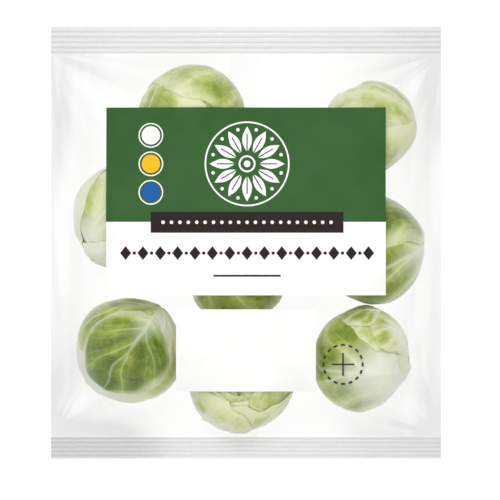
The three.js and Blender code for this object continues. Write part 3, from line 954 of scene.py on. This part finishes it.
def surface_patch(name, x_range, y_range, lift, thickness, heights):
    """A thin sheet that lies on the film over a rectangle."""
    columns = max(2, round((x_range[1] - x_range[0]) / LABEL_CELL))
    rows = max(2, round((y_range[1] - y_range[0]) / LABEL_CELL))
    blank = two_skin_blank(name, columns, rows)
    a, b, skin = coordinates(blank).T
    x = x_range[0] + (a + 1) / 2 * (x_range[1] - x_range[0])
    y = y_range[0] + (b + 1) / 2 * (y_range[1] - y_range[0])
    z = surface_height(heights, x, y) + lift + thickness * (skin + 1) / 2
    return shaped(blank, np.stack([x, y, z], axis=1))


def make_label(node_name, piece_name, material):
    """A printed panel over the rectangle that its solid covers."""
    low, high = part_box(node_name)
    x_range, y_range = (low.x, high.x), (low.y, high.y)
    mesh = surface_patch(piece_name, x_range, y_range, LABEL_LIFT, LABEL_THICKNESS, front_heights)
    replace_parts(piece(piece_name, mesh, material), node_name)


def within(tree, value, middle, half):
    """1 where a value is within half a width of the middle, and 0 elsewhere."""
    return calc(tree, "COMPARE", value, middle, half)


def millimetres(tree):
    """The place on the pack in millimetres, right and up."""
    x, y, _ = parts_of(tree, own_place(tree))
    return times(tree, x, 1 / MM), times(tree, y, 1 / MM)


def rosette_mask(tree, x, y):
    """A round ornament: rings, a centre, beads, and long petals with a line along their middle."""
    x = minus(tree, x, PRINT_X)
    y = minus(tree, y, ROSETTE["y"])
    distance = length_of(tree, x, y)
    angle = calc(tree, "ARCTAN2", y, x)
    pitch = 2 * math.pi / PETALS
    aside = times(tree, calc(tree, "ABSOLUTE", repeat_offset(tree, angle, pitch, 0.0)), distance)
    along = minus(tree, distance, PETAL["start"])
    along = calc(tree, "DIVIDE", along, PETAL["length"], clamp=True)
    arch = calc(tree, "SINE", times(tree, along, math.pi))
    petal = calc(tree, "LESS_THAN", aside, times(tree, arch, PETAL["width"]))
    beside_vein = calc(tree, "GREATER_THAN", aside, PETAL["vein"])
    past_vein = calc(tree, "GREATER_THAN", along, PETAL["vein_end"])
    mask = times(tree, petal, either(tree, beside_vein, past_vein))
    between = calc(tree, "ABSOLUTE", repeat_offset(tree, angle, pitch, pitch / 2))
    bead_aside = times(tree, between, distance)
    bead_away = length_of(tree, bead_aside, minus(tree, distance, ROSETTE["beads"]))
    mask = either(tree, mask, calc(tree, "LESS_THAN", bead_away, BEAD_RADIUS))
    for radius, half_width in ROSETTE_RINGS:
        mask = either(tree, mask, within(tree, distance, radius, half_width))
    return either(tree, mask, calc(tree, "LESS_THAN", distance, ROSETTE["centre"]))


def make_satin_group():
    """The faint unevenness of a satin print: flecks in its colour, and a grain in its gloss and surface."""
    group = bpy.data.node_groups.new("satin_print", "ShaderNodeTree")
    sockets = {
        "INPUT": [("Place", "Vector"), ("Fleck Scale", "Float"), ("Gloss", "Float")],
        "OUTPUT": [("Fleck", "Float"), ("Roughness", "Float"), ("Normal", "Vector")],
    }
    for way, named in sockets.items():
        for name, kind in named:
            group.interface.new_socket(name, in_out=way, socket_type="NodeSocket" + kind)
    given = group.nodes.new("NodeGroupInput").outputs
    result = group.nodes.new("NodeGroupOutput").inputs
    blotch = noise(group, given["Place"], given["Fleck Scale"], 3.0)
    plug(group, result["Fleck"], smooth_step(group, blotch, 0.3, 0.7))
    grain = noise(group, given["Place"], 1500)
    plug(group, result["Roughness"], scaled(group, grain, 0.16, given["Gloss"]))
    add_bump(group, result, noise(group, given["Place"], 700), 0.06, 0.1 * MM)
    return group


satin_print = make_satin_group()


def add_satin(tree, surface, fleck_scale, gloss):
    """Gives a print its satin unevenness, and hands back the flecks for its colour."""
    satin = node(tree, "Group", node_tree=satin_print)
    plug(tree, satin.inputs["Place"], own_place(tree))
    plug(tree, satin.inputs["Fleck Scale"], fleck_scale)
    plug(tree, satin.inputs["Gloss"], gloss)
    plug(tree, surface["Roughness"], satin.outputs["Roughness"])
    plug(tree, surface["Normal"], satin.outputs["Normal"])
    return satin.outputs["Fleck"]


def make_front_material():
    """The front label's print."""
    material, tree, surface = new_material("front_print", SATIN)
    fleck = add_satin(tree, surface, 120, 0.5)
    x, y = millimetres(tree)
    white = paint(252, 252, 250)
    dark = paint(42, 31, 30)
    green = blend(tree, fleck, paint(53, 94, 47), paint(56, 98, 49))
    colour = blend(tree, calc(tree, "GREATER_THAN", y, GREEN_BOTTOM), white, green)
    strip = within(tree, x, PRINT_X, STRIP["width"] / 2)
    strip = times(tree, strip, within(tree, y, STRIP["y"], STRIP["height"] / 2))
    colour = blend(tree, strip, colour, dark)

    colour = blend(tree, rosette_mask(tree, x, y), colour, white)
    for dot_y, tint in DOTS:
        away = length_of(tree, minus(tree, x, DOT_X), minus(tree, y, dot_y))
        colour = blend(tree, calc(tree, "LESS_THAN", away, DOT_RADIUS), colour, tint)
        ring = within(tree, away, DOT_RADIUS + DOT_RING["gap"], DOT_RING["half_width"])
        colour = blend(tree, ring, colour, white)

    along_beads = repeat_offset(tree, x, BEADS["pitch"], PRINT_X)
    beads = length_of(tree, along_beads, minus(tree, y, STRIP["y"]))
    bead_row = calc(tree, "LESS_THAN", beads, BEAD_RADIUS)
    bead_row = times(tree, bead_row, within(tree, x, PRINT_X, BEADS["half_row"]))
    colour = blend(tree, bead_row, colour, white)

    pitch = DIAMONDS["pitch"]
    above = minus(tree, y, DIAMONDS["y"])
    aside = calc(tree, "ABSOLUTE", repeat_offset(tree, x, pitch, PRINT_X))
    diamond_x = calc(tree, "DIVIDE", aside, DIAMONDS["half_width"])
    diamond_y = calc(tree, "DIVIDE", calc(tree, "ABSOLUTE", above), DIAMONDS["half_height"])
    diamond = calc(tree, "LESS_THAN", calc(tree, "ADD", diamond_x, diamond_y), 1.0)
    pip = length_of(tree, repeat_offset(tree, x, pitch, PRINT_X + pitch / 2), above)
    row = either(tree, diamond, calc(tree, "LESS_THAN", pip, DIAMONDS["pip"]))
    row = times(tree, row, within(tree, x, PRINT_X, DIAMONDS["half_row"]))
    rule = within(tree, x, PRINT_X, RULE["half_length"])
    rule = times(tree, rule, within(tree, y, RULE["y"], RULE["half_height"]))
    colour = blend(tree, either(tree, row, rule), colour, dark)
    tree.links.new(colour, surface["Base Color"])
    return material


make_label("front_label", "front_panel", make_front_material())


# Lower label: a small white panel of the same satin print, below the front label.
# It is left blank, and bends with the film where that runs over the sprouts.
def make_white_material():
    """Plain white print."""
    material, tree, surface = new_material("white_print", SATIN)
    fleck = add_satin(tree, surface, 140, 0.4)
    white = blend(tree, fleck, paint(253, 253, 252), paint(250, 250, 248))
    tree.links.new(white, surface["Base Color"])
    return material


make_label("lower_label", "lower_panel", make_white_material())

# Pierce mark: a cross inside a broken ring, printed on the film in dark ink.
# It shows where the film is pricked before cooking.
MARK = (34.7 * MM, -43.5 * MM)
MARK_ARM = 4.1 * MM
MARK_STROKE = 0.6 * MM
RING_RADIUS = 7.0 * MM
RING_STROKE = 0.75 * MM
RING_DASHES = 16
DASH_SHARE = 0.54
INK_LIFT = 0.22 * MM
INK_THICKNESS = 0.05 * MM


def make_mark(material):
    """The cross as one long bar and two short ones, and the ring as even dashes."""
    blank = two_skin_blank("ink_stroke", columns=6, rows=2)
    a, b, skin = coordinates(blank).T
    half_stroke = MARK_STROKE / 2
    short = (MARK_ARM - half_stroke) / 2
    places = [(a * MARK_ARM, b * half_stroke)]
    for way in (1, -1):
        places.append((a * half_stroke, way * (half_stroke + short * (1 + b))))
    for k in range(RING_DASHES):
        angle = 2 * math.pi * (k + DASH_SHARE / 2 * a) / RING_DASHES
        distance = RING_RADIUS + b * RING_STROKE / 2
        places.append((distance * np.cos(angle), distance * np.sin(angle)))
    strokes = []
    for across, up in places:
        x, y = MARK[0] + across, MARK[1] + up
        z = surface_height(front_heights, x, y) + INK_LIFT + INK_THICKNESS * (skin + 1) / 2
        strokes.append(np.stack([x, y, z], axis=1))
    mesh = repeated("pierce_mark", blank, len(places))
    shaped(mesh, np.concatenate(strokes))
    piece("pierce_mark", mesh, material)


def make_ink_material():
    """Dark ink, a little uneven in its density."""
    material, tree, surface = new_material("dark_ink", {"Roughness": 0.5})
    density = smooth_step(tree, noise(tree, own_place(tree), 900, 3.0), 0.3, 0.75)
    tone = blend(tree, density, paint(28, 34, 24), paint(44, 52, 40))
    tree.links.new(tone, surface["Base Color"])
    return material


make_mark(make_ink_material())

# Back seam: where the edges of the web lap along the middle of the back. The outer ply is a strip of the
# same film, welded flat against the bag.
SEAM_EDGES = (-6.0 * MM, 4.4 * MM)
SEAM_PLY = 0.1 * MM
SEAM_LIFT = 0.16 * MM
seam_rows = (body_bottom, body_top)
seam_strip = surface_patch("back_seam", SEAM_EDGES, seam_rows, -SEAM_LIFT - SEAM_PLY, SEAM_PLY, back_heights)


def make_seam_material():
    """A single ply of the film, welded, so it is clearer than the bag's walls and their painted fold shade.
    """
    constants = {"Roughness": 0.2, "Base Color": paint(222, 222, 223)}
    material, tree, surface = new_material("seam_film", constants)
    weld = times(tree, noise(tree, own_place(tree), 500), 0.008)
    # Painted reflection: the seam shows a little more where it turns edge on.
    tree.links.new(scaled(tree, turned_away(tree), 0.04, weld), surface["Alpha"])
    return material


piece("back_seam", seam_strip, make_seam_material())

# Studio: a white table under a white surround, with a soft light over the top of the pack and a fainter one
# over its foot. The camera looks straight down with a long lens, so the pack's front is square to it.
TABLE_SIZE = 8.0
WHITE = (1.0, 1.0, 1.0, 1.0)
TABLE_TOP = {
    "Roughness": 0.9,
    "Base Color": (0.14, 0.14, 0.14, 1.0),
    "Specular IOR Level": 0.0,
    "Emission Color": WHITE,
    "Emission Strength": 0.915,
}
SURROUND_LIGHT = 0.64
LIGHT_TARGET = (0, 0, 0.02)
PHOTO_WIDTH = 179.5 * MM
VIEW_MIDDLE = (1.44 * MM, -2.6 * MM)
LENS = 1000.0
SENSOR = 36.0


def make_table():
    """A wide white table that glows a little, so that the pack's shadow on it stays faint."""
    bm = bmesh.new()
    bmesh.ops.create_grid(bm, x_segments=1, y_segments=1, size=TABLE_SIZE / 2)
    mesh = mesh_from(bm, "table")
    table = in_scene("table", mesh)
    mesh.materials.append(new_material("white_table", TABLE_TOP)[0])


def add_light(name, place, size, power):
    """A square soft light that faces the pack."""
    light = bpy.data.lights.new(name, "AREA")
    light.size = size
    light.energy = power
    lamp = in_scene(name, light)
    lamp.location = place
    lamp.rotation_euler = (Vector(LIGHT_TARGET) - Vector(place)).to_track_quat("-Z", "Y").to_euler()


def add_camera():
    """A long lens over the middle of the view."""
    camera = bpy.data.cameras.new("camera")
    camera.sensor_width = SENSOR
    camera.lens = LENS
    eye = in_scene("camera", camera)
    eye.location = (*VIEW_MIDDLE, RIM_HEIGHT + PHOTO_WIDTH * LENS / SENSOR)
    bpy.context.scene.camera = eye


make_table()
add_light("key", place=(-0.1, 0.4, 0.9), size=0.5, power=3.6)
add_light("fill", place=(0.2, -0.3, 0.9), size=0.8, power=1.2)
add_camera()
world = bpy.data.worlds.new("surround")
world.use_nodes = True
world.node_tree.nodes["Background"].inputs["Color"].default_value = WHITE
world.node_tree.nodes["Background"].inputs["Strength"].default_value = SURROUND_LIGHT
bpy.context.scene.world = world
bpy.context.scene.view_settings.view_transform = "Standard"
